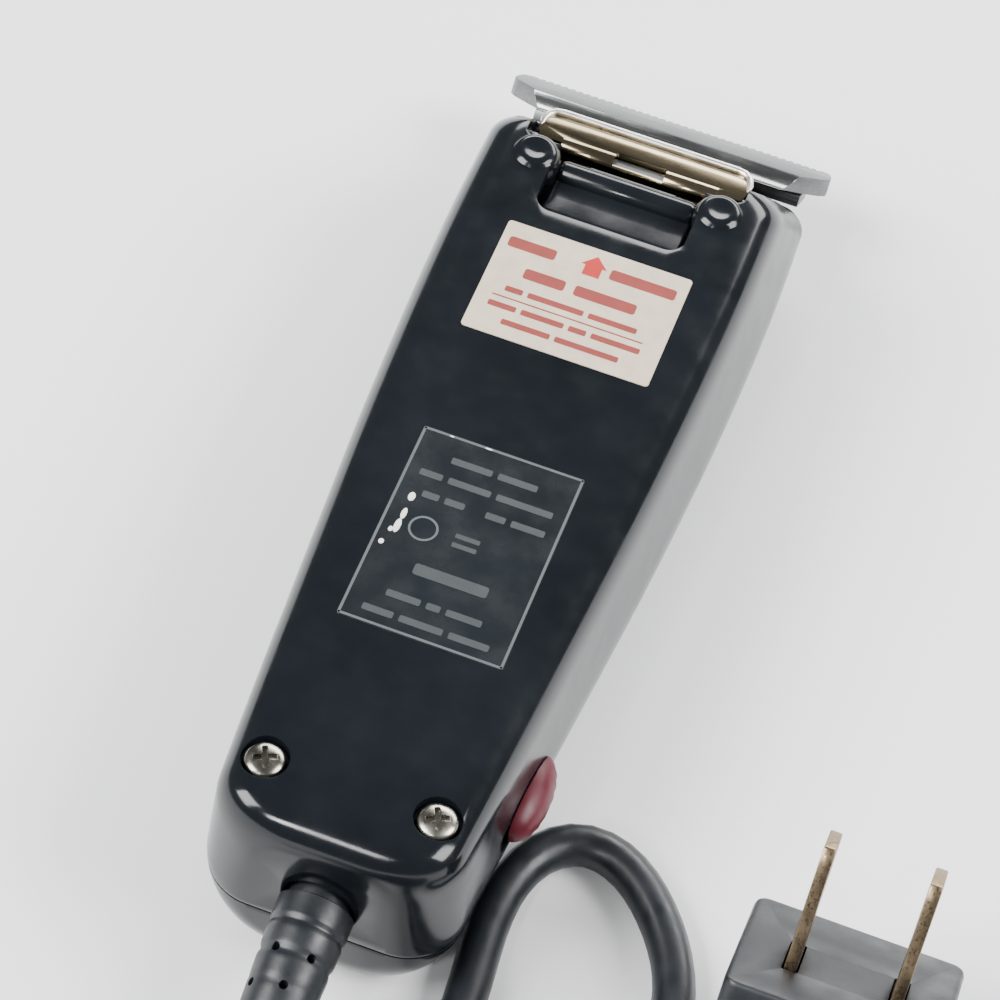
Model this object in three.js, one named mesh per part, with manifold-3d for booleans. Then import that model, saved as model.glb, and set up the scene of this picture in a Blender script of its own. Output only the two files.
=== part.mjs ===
// Corded hair clipper with a T-shaped blade set, lying on its front with its back up.
// Millimetres. +Z is up, out of the clipper's back. +Y points to the blade. The origin is under the
// middle of the clipper, on the surface it lies on.
import * as THREE from "three";
import { mergeVertices } from "three/addons/utils/BufferGeometryUtils.js";
import Module from "manifold-3d";

const wasm = await Module();
wasm.setup();

// Driving dimensions.
const END_Y = -71.5; // cord end of the housing
const HEAD_Y = 62; // blade end of the housing
const BACK_Z = 30; // plane of the back
const PARTING_Z = 11; // joint between the back housing and the front cover
const WALL = 2.2;
const ORIGIN_SHIFT = 0.798; // puts the origin under the middle of the clipper's length
const GAP = 0.3; // clearance between touching pieces
const SCREW_AT = [10.8, -62.7];
const PIVOT = [0, 4]; // armature pivot, in X and Y
const LEVER_AXIS = [40, 26.4]; // release lever's pin, in Y and Z
const BLADE_AXIS = [46.2, 24.6]; // blade set's hinge, in Y and Z
const BLADE_HEEL = [61, 17.4]; // heel edge of the fixed blade's skin side, in Y and Z
const BLADE_TILT = THREE.MathUtils.degToRad(38); // below the horizontal
const BLADE_LENGTH = 11.3;
const BLADE_THICK = 2.4;
const TEETH_HALF = 21.6; // half the toothed edge
const WING_HALF = 23.2; // half the blade's widest
const CORD_R = 2.7;
const COIL = { x: 30, y: -151, columns: 4, layers: 2, radius: 30.8, pitch: 5.5 };
const PLUG_FACE = [61.2, -62.6, 25]; // middle of the plug's face, between its pins
const PLUG_TILT = THREE.MathUtils.degToRad(60); // pins above the horizontal
const PIN_SPACING = 12.7;

// Route of the cord's centre line from the boot to the coil, and from the coil to the plug.
const ROUTE_TO_COIL = [
  [0, -106, 4.9], [-0.1, -109, 3.9], [-0.4, -114, 3], [-1.2, -119, 2.8],
];
const ROUTE_TO_PLUG = [
  [24, -105.6, 3.8], [20.4, -101, 3], [18.6, -94, 2.8], [18.6, -83, 2.8],
  [19.2, -72, 2.8], [18.5, -64, 2.8], [17.8, -57, 2.8], [18.2, -51, 2.8], [20.2, -46, 2.8],
  [23.6, -42.8, 2.8], [27.8, -42.2, 2.8], [32.2, -44.2, 2.8], [36.8, -48.6, 2.8], [40.6, -54, 2.8],
  [43, -60.5, 2.8], [43, -68, 2.8], [40.4, -76, 2.8], [38.6, -84, 2.8], [38.4, -92, 2.8],
  [41.7, -100.1, 2.8], [49.8, -103.4, 2.8], [57.9, -100.1, 2.9], [61.2, -92.2, 3.5], [61.2, -90.2, 3.7],
];

const clipper = new THREE.Group();

function finish(color, roughness, metalness = 0) {
  return new THREE.MeshStandardMaterial({ color, roughness, metalness });
}
const look = {
  shell: () => finish(0x14181c, 0.22),
  steel: () => finish(0x8f9494, 0.35, 1),
  nickel: () => finish(0xb8b4a6, 0.25, 1),
  brass: () => finish(0x8c7a58, 0.4, 1),
  rubber: () => finish(0x1e252c, 0.6),
  red: () => finish(0x8a1028, 0.35),
  cream: () => finish(0xcfc6ae, 0.6),
  plate: () => finish(0x15191c, 0.4),
  copper: () => finish(0xa4592e, 0.35, 1),
  iron: () => finish(0x54575a, 0.5, 1),
  nylon: () => finish(0xd8d4c6, 0.5),
};

function solid(geometry) {
  const bare = (geometry.index ? geometry.toNonIndexed() : geometry.clone());
  bare.deleteAttribute("normal");
  bare.deleteAttribute("uv");
  const merged = mergeVertices(bare, 1e-4);
  return new wasm.Manifold(new wasm.Mesh({
    numProp: 3,
    vertProperties: merged.attributes.position.array,
    triVerts: new Uint32Array(merged.index.array),
  }));
}

function geometryOf(made) {
  const mesh = made.getMesh();
  const geometry = new THREE.BufferGeometry();
  geometry.setAttribute("position", new THREE.BufferAttribute(mesh.vertProperties, 3));
  geometry.setIndex(new THREE.BufferAttribute(mesh.triVerts, 1));
  geometry.computeVertexNormals();
  return geometry;
}

function place(name, shape, material, parent = clipper) {
  const geometry = shape.isBufferGeometry ? shape : geometryOf(shape);
  const mesh = new THREE.Mesh(geometry, material);
  mesh.name = name;
  parent.add(mesh);
  return mesh;
}

const block = (w, d, h, x, y, z) => new THREE.BoxGeometry(w, d, h).translate(x, y, z);

// A cylinder whose axis runs along x, y or z, centred on a point.
function rod(radius, length, axis, x, y, z, sides = 20) {
  const geometry = new THREE.CylinderGeometry(radius, radius, length, sides);
  if (axis === "x") geometry.rotateZ(Math.PI / 2);
  if (axis === "z") geometry.rotateX(Math.PI / 2);
  return geometry.translate(x, y, z);
}

// A plate in the X-Y plane from its outline, standing on z = 0.
function plate(points, thickness, holes = []) {
  const shape = new THREE.Shape(points.map((p) => new THREE.Vector2(...p)));
  for (const [x, y, r] of holes) {
    shape.holes.push(new THREE.Path().absarc(x, y, r, 0, 2 * Math.PI, true));
  }
  const options = { depth: thickness, bevelEnabled: false, curveSegments: 10 };
  return new THREE.ExtrudeGeometry(shape, options);
}

function roundedOutline(halfX, halfY, radius, steps = 4) {
  const points = [];
  const corners = [[1, 1, 0], [-1, 1, 90], [-1, -1, 180], [1, -1, 270]];
  for (const [sx, sy, start] of corners) {
    for (let i = 0; i <= steps; i += 1) {
      const a = THREE.MathUtils.degToRad(start + (90 * i) / steps);
      points.push([
        sx * (halfX - radius) + radius * Math.cos(a),
        sy * (halfY - radius) + radius * Math.sin(a),
      ]);
    }
  }
  return points;
}

// A closed solid through equal rings of points, capped at both ends.
function loft(rings) {
  const n = rings[0].length;
  const vertices = rings.flat(2);
  const faces = [];
  for (let r = 0; r + 1 < rings.length; r += 1) {
    for (let i = 0; i < n; i += 1) {
      const j = (i + 1) % n;
      const [a, b] = [r * n + i, r * n + j];
      faces.push(a, b, b + n, a, b + n, a + n);
    }
  }
  for (const [first, last] of [[0, true], [(rings.length - 1) * n, false]]) {
    for (let i = 1; i + 1 < n; i += 1) {
      faces.push(first, first + (last ? i + 1 : i), first + (last ? i : i + 1));
    }
  }
  const geometry = new THREE.BufferGeometry();
  geometry.setAttribute("position", new THREE.BufferAttribute(new Float32Array(vertices), 3));
  geometry.setIndex(faces);
  return geometry;
}

// Half-width of the housing at its widest level, and at the edge of its back.
const WIDEST = [[-72, 16.2], [-57, 17.3], [-32, 19.6], [-3, 22], [26, 23.3], [45, 23.3], [64, 22.4]];
const BACK_EDGE = [[-72, 14.8], [-57, 16], [-32, 17.6], [-3, 19.3], [26, 20.2], [45, 20], [64, 19.2]];

function along(table, y) {
  const curve = new THREE.CatmullRomCurve3(table.map(([py, w]) => new THREE.Vector3(py, w, 0)));
  let [low, high] = [0, 1];
  for (let i = 0; i < 24; i += 1) {
    const middle = (low + high) / 2;
    if (curve.getPoint(middle).x < y) low = middle;
    else high = middle;
  }
  return curve.getPoint(low).y;
}

// How far a rounded end has drawn in at a distance from that end.
const rounding = (radius, d) => (d >= radius ? 0 : radius - Math.sqrt(radius ** 2 - (radius - d) ** 2));

// Corners are softened by a quadratic curve through five points.
function softPolygon(corners, y) {
  const ring = [];
  corners.forEach(([x, z, soft], i) => {
    const before = corners[(i + corners.length - 1) % corners.length];
    const after = corners[(i + 1) % corners.length];
    const here = new THREE.Vector2(x, z);
    const from = new THREE.Vector2(...before).sub(here);
    const to = new THREE.Vector2(...after).sub(here);
    const start = here.clone().add(from.setLength(Math.min(soft, from.length() * 0.48)));
    const end = here.clone().add(to.setLength(Math.min(soft, to.length() * 0.48)));
    const curve = new THREE.QuadraticBezierCurve(start, here, end);
    for (const p of curve.getPoints(4)) ring.push([p.x, y, p.y]);
  });
  return ring;
}

function bodyRing(y, inset) {
  const fromEnd = Math.max(0, y - END_Y - inset);
  const narrow = rounding(7, fromEnd) + inset;
  const wide = along(WIDEST, y) - narrow;
  const edge = along(BACK_EDGE, y) - narrow;
  const top = BACK_Z - inset - rounding(4.5, fromEnd);
  const low = inset + rounding(6, fromEnd);
  const belly = wide * 0.62;
  const corners = [
    [-belly, low, 5], [belly, low, 5], [wide, 8.5, 5],
    [edge, top, 5], [-edge, top, 5], [-wide, 8.5, 5],
  ];
  return softPolygon(corners, y);
}

function bodyLoft(inset, to) {
  const start = END_Y + inset;
  const steps = [0, 0.8, 2.2, 4.2, 7].map((d) => start + d);
  for (let y = END_Y + 16; y < to; y += 12) steps.push(y);
  steps.push(to);
  return solid(loft(steps.map((y) => bodyRing(y, inset)).reverse()));
}

const UP_SLOPE = THREE.MathUtils.degToRad(39.85); // the blade end of the housing is cut on this slope
const headCut = solid(new THREE.BoxGeometry(80, 60, 80).translate(0, 30, 0)
  .rotateX(UP_SLOPE).translate(0, 53.25, 19.5));
const shell = bodyLoft(0, HEAD_Y + 2).subtract(bodyLoft(WALL, HEAD_Y + 6)).subtract(headCut);
const LABEL = { width: 25.4, height: 19.05, x: 0.6, y: 17 };
const NAMEPLATE = { width: 21.5, height: 30.9, x: 0.1, y: -25 };

function tapered(radiusFrom, radiusTo, from, to, sides = 20) {
  const [a, b] = [new THREE.Vector3(...from), new THREE.Vector3(...to)];
  const length = a.distanceTo(b);
  const geometry = new THREE.CylinderGeometry(radiusTo, radiusFrom, length, sides);
  const turn = new THREE.Quaternion().setFromUnitVectors(
    new THREE.Vector3(0, 1, 0), b.clone().sub(a).normalize());
  return geometry.applyQuaternion(turn).translate(...a.add(b).multiplyScalar(0.5).toArray());
}

function tube(points, radius, sides, steps) {
  const path = new THREE.CatmullRomCurve3(points.map((p) => new THREE.Vector3(...p)), false, "centripetal");
  const section = new THREE.Shape();
  for (let i = 0; i < sides; i += 1) {
    const a = (2 * Math.PI * i) / sides;
    section[i ? "lineTo" : "moveTo"](radius * Math.cos(a), radius * Math.sin(a));
  }
  section.closePath();
  return new THREE.ExtrudeGeometry(section, { steps, extrudePath: path });
}

function addBackHousing() {
  const upper = block(80, 200, 30, 0, 0, PARTING_Z + GAP / 2 + 15);
  let made = shell.intersect(solid(upper));
  for (const side of [-1, 1]) {
    const dome = new THREE.SphereGeometry(3.1, 14, 10).scale(1, 1, 0.5).translate(side * 13.4, 38, 29.3);
    made = made.add(solid(dome));
    made = made.add(solid(block(3, 5, 5.4, side * 12.4, LEVER_AXIS[0], LEVER_AXIS[1] - 0.6)));
    made = made.add(solid(block(3.4, 4, 5, side * 17, BLADE_AXIS[0] - 0.4, BLADE_AXIS[1])));
    made = made.add(solid(rod(4.4, 4.2, "z", side * SCREW_AT[0], SCREW_AT[1], 27.4)));
    made = made.add(solid(rod(3, 10, "z", side * SCREW_AT[0], SCREW_AT[1], 21.4)));
    made = made.subtract(solid(rod(3.3, 4, "z", side * SCREW_AT[0], SCREW_AT[1], 30.4)));
    made = made.subtract(solid(rod(1.7, 16, "z", side * SCREW_AT[0], SCREW_AT[1], 23)));
  }
  made = made.add(solid(rod(3, 12, "z", ...PIVOT, 22.5)));
  made = made.subtract(solid(rod(1.65, 14, "z", ...PIVOT, 18)));
  made = made.add(solid(block(24, 1.6, 5, 0, 28.8, 25.9)));
  made = made.subtract(solid(block(20.6, 11.4, 4.5, 0, 35.8, 29.6)));
  made = made.subtract(solid(block(30.8, 9.3, 8, 0, 46.4, 28.3)));
  made = made.subtract(solid(rod(0.95, 40, "x", 0, ...LEVER_AXIS)));
  made = made.subtract(solid(rod(0.85, 36, "x", 0, ...BLADE_AXIS)));
  made = made.subtract(solid(rod(2.4, 8, "x", -20, 4, 16)));
  made = made.subtract(solid(block(8, 10.4, 3.8, 18, -49, 14.3)));
  made = made.subtract(solid(rod(4.5, 8, "y", 0, END_Y, 17)));
  for (const area of [LABEL, NAMEPLATE]) {
    made = made.subtract(solid(block(area.width + 0.4, area.height + 0.4, 1, area.x, area.y, 30.15)));
  }
  place("back_housing", made, look.shell());
}

function addFrontCover() {
  const lower = block(80, 200, 30, 0, 0, PARTING_Z - GAP / 2 - 15);
  let made = shell.intersect(solid(lower));
  const posts = [[0, PIVOT[1], 3.2, 7.2], [10.5, -36.5, 3, 5.6], [-10.5, -36.5, 3, 5.6]];
  for (const side of [-1, 1]) posts.push([side * SCREW_AT[0], SCREW_AT[1], 3, 14]);
  for (const [x, y, r, height] of posts) {
    made = made.add(solid(rod(r, height, "z", x, y, 1.8 + height / 2)));
    made = made.subtract(solid(rod(1.65, height, "z", x, y, 3.8 + height / 2)));
  }
  for (const side of [-1, 1]) made = made.add(solid(block(2, 6, 12.4, side * 15.3, 30, 8)));
  place("front_cover", made, look.shell());
}

function addLabels() {
  const flat = (area) => plate(roundedOutline(area.width / 2, area.height / 2, 0.5, 2), 0.25);
  place("instruction_label", flat(LABEL), look.cream()).position.set(LABEL.x, LABEL.y, 29.97);
  place("nameplate", flat(NAMEPLATE), look.plate()).position.set(NAMEPLATE.x, NAMEPLATE.y, 29.97);
}

// A screw along z, its head's underside at the origin and its shank going down.
function screw(headR, headH, shankR, length, drive) {
  const head = solid(rod(headR, headH, "z", 0, 0, headH / 2, 24));
  let made = head.add(solid(rod(shankR, length, "z", 0, 0, 0.2 - length / 2, 14)));
  const depth = headH * 0.6;
  const slots = drive === "cross" ? [[0.7, headR * 1.3], [headR * 1.3, 0.7]] : [[0.7, headR * 3]];
  for (const [w, d] of slots) made = made.subtract(solid(block(w, d, depth, 0, 0, headH - depth / 2 + 0.01)));
  return made;
}

function addScrews() {
  const sides = { left: -1, right: 1 };
  for (const [name, side] of Object.entries(sides)) {
    const housing = place("housing_screw_" + name, screw(2.15, 1.3, 1.3, 22, "cross"), look.nickel());
    housing.position.set(side * SCREW_AT[0], SCREW_AT[1], 28.75);
    const core = place("core_screw_" + name, screw(2.3, 1.4, 1.2, 13.5, "slot"), look.steel());
    core.position.set(side * 10.5, -36.5, 18.4);
  }
}

function addLever() {
  const [y, z] = LEVER_AXIS;
  let made = solid(rod(1.9, 19, "x", 0, y, z, 24));
  made = made.add(solid(plate(roundedOutline(9.6, 4.4, 1.6), 1.8).translate(0, 35.2, z - 1)));
  made = made.add(solid(block(12, 3.2, 1, 0, y + 1.8, z - 1.2)));
  made = made.subtract(solid(rod(0.95, 30, "x", 0, y, z)));
  place("release_lever", made, look.shell());
  place("lever_pin", rod(0.8, 27, "x", 0, y, z), look.steel());
  place("lever_spring", block(8, 8.6, 0.5, 0, 32.4, 22.8), look.steel());
}

// The blade set is built flat: y runs from its heel to its teeth, z out of its skin side.
const bladeSet = new THREE.Group();
bladeSet.position.set(0, ...BLADE_HEEL);
bladeSet.rotation.x = -BLADE_TILT;
clipper.add(bladeSet);

function comb(made, half, root, tip, pitch, slot, z) {
  let cut = made;
  const count = Math.floor((2 * half) / pitch);
  for (let i = 0; i <= count; i += 1) {
    const x = (i - count / 2) * pitch;
    cut = cut.subtract(solid(block(slot, tip - root, 8, x, (root + tip) / 2, z)));
  }
  return cut;
}

function addBlades() {
  const right = [[18.9, 0], [22.6, 3.4], [WING_HALF, 5.6], [22.9, 8.4], [TEETH_HALF, BLADE_LENGTH]];
  const left = right.map(([x, y]) => [-x, y]).reverse();
  let fixed = solid(plate([...right, ...left], BLADE_THICK).translate(0, 0, -BLADE_THICK));
  fixed = fixed.add(solid(block(16, 4.4, 1.2, 0, -1.8, -1.5)));
  const bevel = block(60, 8, 4, 0, 0, 0).rotateX(THREE.MathUtils.degToRad(22));
  fixed = fixed.subtract(solid(bevel.translate(0, BLADE_LENGTH + 0.9, -3.3)));
  for (const side of [-1, 1]) fixed = fixed.subtract(solid(rod(1, 2, "z", side * 5, -2.4, -2.4, 12)));
  fixed = comb(fixed, TEETH_HALF - 1, 8.7, BLADE_LENGTH + 1, 1.5, 0.7, 0);
  place("fixed_blade", fixed, look.steel(), bladeSet);

  let cutter = solid(block(41, 9.3, 1.6, 0, 4.9, -3.5));
  cutter = comb(cutter, 19, 7, 10, 2.1, 0.9, -3.5);
  for (const side of [-1, 1]) cutter = cutter.add(solid(block(2, 4, 4.4, side * 2.4, 3, -6.2)));
  place("moving_cutter", cutter, look.steel(), bladeSet);

  const spring = plate([[-13, 0.8], [13, 0.8], [13, 2.6], [-13, 2.6]], 0.5).translate(0, -3.4, -5.5);
  place("cutter_spring", spring, look.nickel(), bladeSet);
  for (const [name, side] of [["left", -1], ["right", 1]]) {
    const made = screw(1.6, 0.9, 0.75, 2.6, "slot");
    const mesh = place("blade_screw_" + name, made, look.nickel(), bladeSet);
    mesh.rotation.x = Math.PI;
    mesh.position.set(side * 5, -2.4, -4.1);
  }
}

function addBladeHinge() {
  const profile = [
    [45.6, 26], [50.2, 26], [51.3, 25.3], [52.3, 21.2], [58.3, 16.5],
    [57.7, 15.7], [51.4, 20.6], [50.4, 24.7], [49.9, 25], [45.6, 25],
  ];
  const outline = plate(profile, 30).rotateX(Math.PI / 2).rotateZ(Math.PI / 2).translate(-15, 0, 0);
  let made = solid(outline);
  made = made.add(solid(rod(1.5, 22, "x", 0, ...BLADE_AXIS)));
  made = made.subtract(solid(rod(0.95, 40, "x", 0, ...BLADE_AXIS)));
  made = made.subtract(solid(block(7.4, 2.2, 4, 0, 46, 25.4)));
  const [y, z] = BLADE_HEEL;
  for (const side of [-1, 1]) {
    const hole = rod(1.05, 8, "z", side * 5, -2.4, -3).rotateX(-BLADE_TILT).translate(0, y, z);
    made = made.subtract(solid(hole));
  }
  place("blade_hinge_plate", made, look.brass());
  place("blade_hinge_pin", rod(0.7, 34.6, "x", 0, ...BLADE_AXIS), look.steel());
}

function addMotor() {
  const core = plate([
    [-12.5, -40], [12.5, -40], [12.5, -16], [8.5, -16], [8.5, -33], [3.6, -33],
    [3.6, -16], [-3.6, -16], [-3.6, -33], [-8.5, -33], [-8.5, -16], [-12.5, -16],
  ], 10, [[10.5, -36.5, 1.5], [-10.5, -36.5, 1.5]]);
  place("core_laminations", core.translate(0, 0, 8), look.iron());

  const bore = solid(block(7.8, 30, 10.6, 0, -24.8, 13));
  let bobbin = solid(block(9.4, 15.4, 12.2, 0, -24.8, 13));
  for (const end of [-1, 1]) bobbin = bobbin.add(solid(block(16.2, 1, 15, 0, -24.8 + end * 7.2, 13)));
  place("coil_bobbin", bobbin.subtract(bore), look.nylon());
  const inner = solid(block(10, 20, 12.8, 0, -24.8, 13));
  place("copper_winding", solid(block(15.6, 12.8, 14.4, 0, -24.8, 13)).subtract(inner), look.copper());

  let armature = solid(block(25, 6, 8, 0, -12, 13));
  armature = armature.add(solid(block(7, 68, 2.4, 0, 22, 10.8)));
  armature = armature.add(solid(rod(3.4, 3.4, "z", ...PIVOT, 10.9)));
  armature = armature.subtract(solid(rod(1.65, 10, "z", ...PIVOT, 10.8)));
  armature = armature.add(solid(rod(1.1, 5.4, "y", 0, 58.4, 10.7, 12)));
  place("armature", armature, look.iron());
  place("armature_pivot_pin", rod(1.5, 21, "z", ...PIVOT, 14.4), look.steel());
  for (const [name, side] of [["left", -1], ["right", 1]]) {
    const sleeve = solid(rod(2.2, 8.2, "x", side * 9.8, 30, 10.8)).subtract(
      solid(rod(1.5, 10, "x", side * 9.8, 30, 10.8)));
    place("return_spring_" + name, sleeve, look.steel());
  }
  const adjuster = solid(rod(1.9, 11.4, "x", -14.9, PIVOT[1], 16)).subtract(
    solid(block(1.2, 0.7, 4, -20.3, PIVOT[1], 16)));
  place("power_screw", adjuster, look.nickel());
}

function addSwitch() {
  const cap = solid(new THREE.SphereGeometry(1, 24, 14).scale(4.4, 7.6, 3.9).translate(16.7, -46.8, 14.3));
  const wall = bodyLoft(-GAP, HEAD_Y);
  const stem = solid(block(5.6, 5.6, 2.8, 15.6, -46.8, 14.3));
  place("switch_button", cap.subtract(wall).add(stem), look.red());
  place("switch_body", block(4, 12, 8, 10.4, -49, 14.3), look.nylon());
  place("switch_contact", block(0.5, 9, 4, 7.8, -49, 14.3), look.brass());
}

function addWires() {
  const leads = {
    live: [[1.6, -62.6, 17], [4, -59, 19.5], [8, -53, 20.6], [10.4, -49, 20.2]],
    neutral: [[-1.6, -62.6, 17], [-5, -55, 21], [-4, -40, 23], [-2, -26, 22]],
  };
  for (const [name, points] of Object.entries(leads)) {
    place("lead_wire_" + name, tube(points, 0.8, 8, 10), look.rubber());
  }
  place("cord_clamp", block(10, 3.2, 5, 0, -60.4, 12.6), look.nylon());
}

function addCord() {
  const boot = solid(tapered(4.4, 3.3, [0, END_Y - 2, 16.4], [0, -105.6, 5.3]));
  const neck = solid(tapered(3.4, 3.4, [0, END_Y + 5, 17.4], [0, END_Y - 2.4, 16.3]));
  const flange = solid(tapered(5.4, 5.4, [0, END_Y + 6.6, 17.7], [0, END_Y + 4.6, 17.3]));
  const flat = solid(block(20, 40, 4, 0, -100, -1.7));
  place("strain_relief", boot.add(neck).add(flange).subtract(flat), look.rubber());
  place("cord_to_coil", tube(ROUTE_TO_COIL, CORD_R, 10, 3), look.rubber());
  place("cord_to_plug", tube(ROUTE_TO_PLUG, CORD_R, 10, 40), look.rubber());

  const spread = ((COIL.columns - 1) / 2) * COIL.pitch + CORD_R;
  const height = (COIL.layers - 1) * COIL.pitch + 2 * CORD_R;
  const [inner, outer, foot] = [COIL.radius - spread, COIL.radius + spread, 0.8];
  const section = [[inner, foot], [outer, foot], [outer, height], [inner, height], [inner, foot]];
  const ring = new THREE.LatheGeometry(section.map((p) => new THREE.Vector2(...p)), 48);
  place("cord_coil", ring.rotateX(Math.PI / 2), look.rubber()).position.set(COIL.x, COIL.y, 0);

  const band = solid(block(2 * spread + 1.6, 6, height + 1.2, COIL.radius, 0, height / 2 + 0.6)).subtract(
    solid(block(2 * spread + 0.7, 8, height - 0.2, COIL.radius, 0, height / 2 + 0.4)));
  const tie = place("coil_tie", band, look.nylon());
  tie.position.set(COIL.x, COIL.y, 0.05);
}

function addPlug() {
  const plug = new THREE.Group();
  plug.position.set(...PLUG_FACE);
  plug.rotation.x = PLUG_TILT - Math.PI / 2;
  clipper.add(plug);
  let body = solid(plate(roundedOutline(13, 11, 1.8), 21.4).translate(0, 0.8, -20));
  const names = ["left", "right"];
  for (const side of [-1, 1]) {
    body = body.subtract(solid(block(2.1, 7, 12, (side * PIN_SPACING) / 2, 0, 0)));
  }
  place("plug_body", body, look.rubber(), plug);
  names.forEach((name, i) => {
    const x = (i - 0.5) * PIN_SPACING;
    place("plug_pin_" + name, block(1.5, 6.35, 23, x, 0, 6), look.brass(), plug);
  });
  const relief = tapered(3.3, 2.9, [61.2, -75.2, 4.7], [61.2, -89.8, 3.8]);
  place("plug_strain_relief", relief, look.rubber());
}

addBackHousing();
addFrontCover();
addLabels();
addScrews();
addLever();
addBladeHinge();
addBlades();
addMotor();
addSwitch();
addWires();
addCord();
addPlug();
clipper.position.y = ORIGIN_SHIFT;

export default clipper;
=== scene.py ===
# Corded hair clipper with a T-shaped blade set, lying on its front. Metres, in the CAD model's frame.
import math

import bmesh
import bpy
from mathutils import Matrix, Vector


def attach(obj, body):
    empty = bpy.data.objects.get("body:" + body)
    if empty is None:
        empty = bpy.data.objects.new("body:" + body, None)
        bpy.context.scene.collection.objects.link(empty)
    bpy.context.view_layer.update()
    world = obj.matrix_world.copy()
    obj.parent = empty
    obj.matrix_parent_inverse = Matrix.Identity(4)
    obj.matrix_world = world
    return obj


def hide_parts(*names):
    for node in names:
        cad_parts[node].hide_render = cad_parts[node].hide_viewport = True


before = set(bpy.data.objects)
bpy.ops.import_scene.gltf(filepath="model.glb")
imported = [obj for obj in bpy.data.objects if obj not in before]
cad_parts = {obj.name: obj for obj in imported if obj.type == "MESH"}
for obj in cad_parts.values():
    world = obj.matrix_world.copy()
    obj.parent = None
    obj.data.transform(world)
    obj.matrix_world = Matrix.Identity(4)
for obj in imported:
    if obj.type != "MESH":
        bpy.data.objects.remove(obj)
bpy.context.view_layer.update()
MM = 0.001


def mm(*values):
    return Vector(v * MM for v in values)


# Driving dimensions, in millimetres. The clipper lies on its front: y runs to the blades, and z up to
# its back.
SHIFT = 0.798  # puts the origin under the middle of the clipper's length, as in the CAD model
END_Y = -70.7
HEAD_Y = 62.8
BACK_Z = 30.0
PARTING_Z = 11.0
PARTING_GAP = 0.15  # kept by each shell
WALL = 2.2
SHELL_BEVEL = 0.22
SCREW_X, SCREW_Y = 10.8, -62.7 + SHIFT
SWITCH_Z = 14.3
LABEL_BASE_Z, LABEL_TOP_Z, NAMEPLATE_TOP_Z = 29.7, 30.14, 30.06
PRINT_HEIGHT = 0.035
PIN_BORE_R = 0.95
BLADE_PIN_X = 6.35  # the plug's blades, either side of its middle
LEVER_Y, LEVER_Z = 40 + SHIFT, 26.4
HINGE_Y, HINGE_Z = 46.2 + SHIFT, 24.6
HEEL_Y, HEEL_Z = 61 + SHIFT, 17.4
BLADE_TILT = math.radians(38)
CORD_R = 2.7
COIL_X, COIL_Y, COIL_R, COIL_PITCH = 30, -151 + SHIFT, 30.8, 5.5
COIL_COLUMNS, COIL_BASE = 4, 3.5
PLUG = (61.2, -62.6 + SHIFT, 25)
PLUG_TILT = math.radians(60)


# ---------------------------------------------------------------- camera
CAMERA_ANGLES = (12.385, 53.44, 9.054)  # azimuth, elevation and roll in degrees, fitted to the photo
CAMERA_TARGET = (2.0, -15.88, 30)
CAMERA_DISTANCE = 0.4693
LENS_MM, SENSOR_MM = 136.8, 36


def add_camera():
    azimuth, elevation, roll = (math.radians(a) for a in CAMERA_ANGLES)
    back = Vector(
        (
            math.sin(azimuth) * math.cos(elevation),
            -math.cos(azimuth) * math.cos(elevation),
            math.sin(elevation),
        )
    )
    right = (-back).cross(Vector((0, 0, 1))).normalized()
    up = back.cross(right)
    x_axis = right * math.cos(roll) + up * math.sin(roll)
    y_axis = up * math.cos(roll) - right * math.sin(roll)
    data = bpy.data.cameras.new("camera")
    data.lens, data.sensor_width = LENS_MM, SENSOR_MM
    camera = bpy.data.objects.new("camera", data)
    bpy.context.scene.collection.objects.link(camera)
    turn = Matrix((x_axis, y_axis, back)).transposed().to_4x4()
    camera.matrix_world = Matrix.Translation(mm(*CAMERA_TARGET) + back * CAMERA_DISTANCE) @ turn
    bpy.context.scene.camera = camera


# ---------------------------------------------------------------- materials
FINE_RELIEF = 0.00001
RUBBER_RELIEF = 0.00003


def socket(shader, name, value):
    shader.inputs[name].default_value = value


def base_material(name, color, rough, metal=0.0, **extra):
    material = bpy.data.materials.new(name)
    material.use_nodes = True
    shader = material.node_tree.nodes["Principled BSDF"]
    socket(shader, "Base Color", (*color, 1))
    socket(shader, "Roughness", rough)
    socket(shader, "Metallic", metal)
    for key, value in extra.items():
        socket(shader, key.replace("_", " "), value)
    return material, material.node_tree, shader


def noise(tree, scale, detail, stretch=(1, 1, 1)):
    """A noise in the object's own coordinates, with scale in features per metre."""
    node = tree.nodes.new("ShaderNodeTexNoise")
    node.inputs["Scale"].default_value = scale
    node.inputs["Detail"].default_value = detail
    place = tree.nodes.new("ShaderNodeTexCoord")
    mapping = tree.nodes.new("ShaderNodeMapping")
    mapping.inputs["Scale"].default_value = stretch
    tree.links.new(place.outputs["Object"], mapping.inputs["Vector"])
    tree.links.new(mapping.outputs["Vector"], node.inputs["Vector"])
    return node.outputs["Fac"]


def ramp(tree, source, stops):
    node = tree.nodes.new("ShaderNodeValToRGB")
    elements = node.color_ramp.elements
    while len(elements) < len(stops):
        elements.new(0.5)
    for element, (position, color) in zip(elements, stops):
        element.position = position
        element.color = (*color, 1) if hasattr(color, "__len__") else (color, color, color, 1)
    tree.links.new(source, node.inputs["Fac"])
    return node.outputs["Color"]


def vary(tree, shader, name, scale, low, high, stretch=(1, 1, 1)):
    """Lets a value or a colour of the shader wander between two limits."""
    mixed = ramp(tree, noise(tree, scale, 5, stretch), [(0.32, low), (0.68, high)])
    tree.links.new(mixed, shader.inputs[name])


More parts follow.
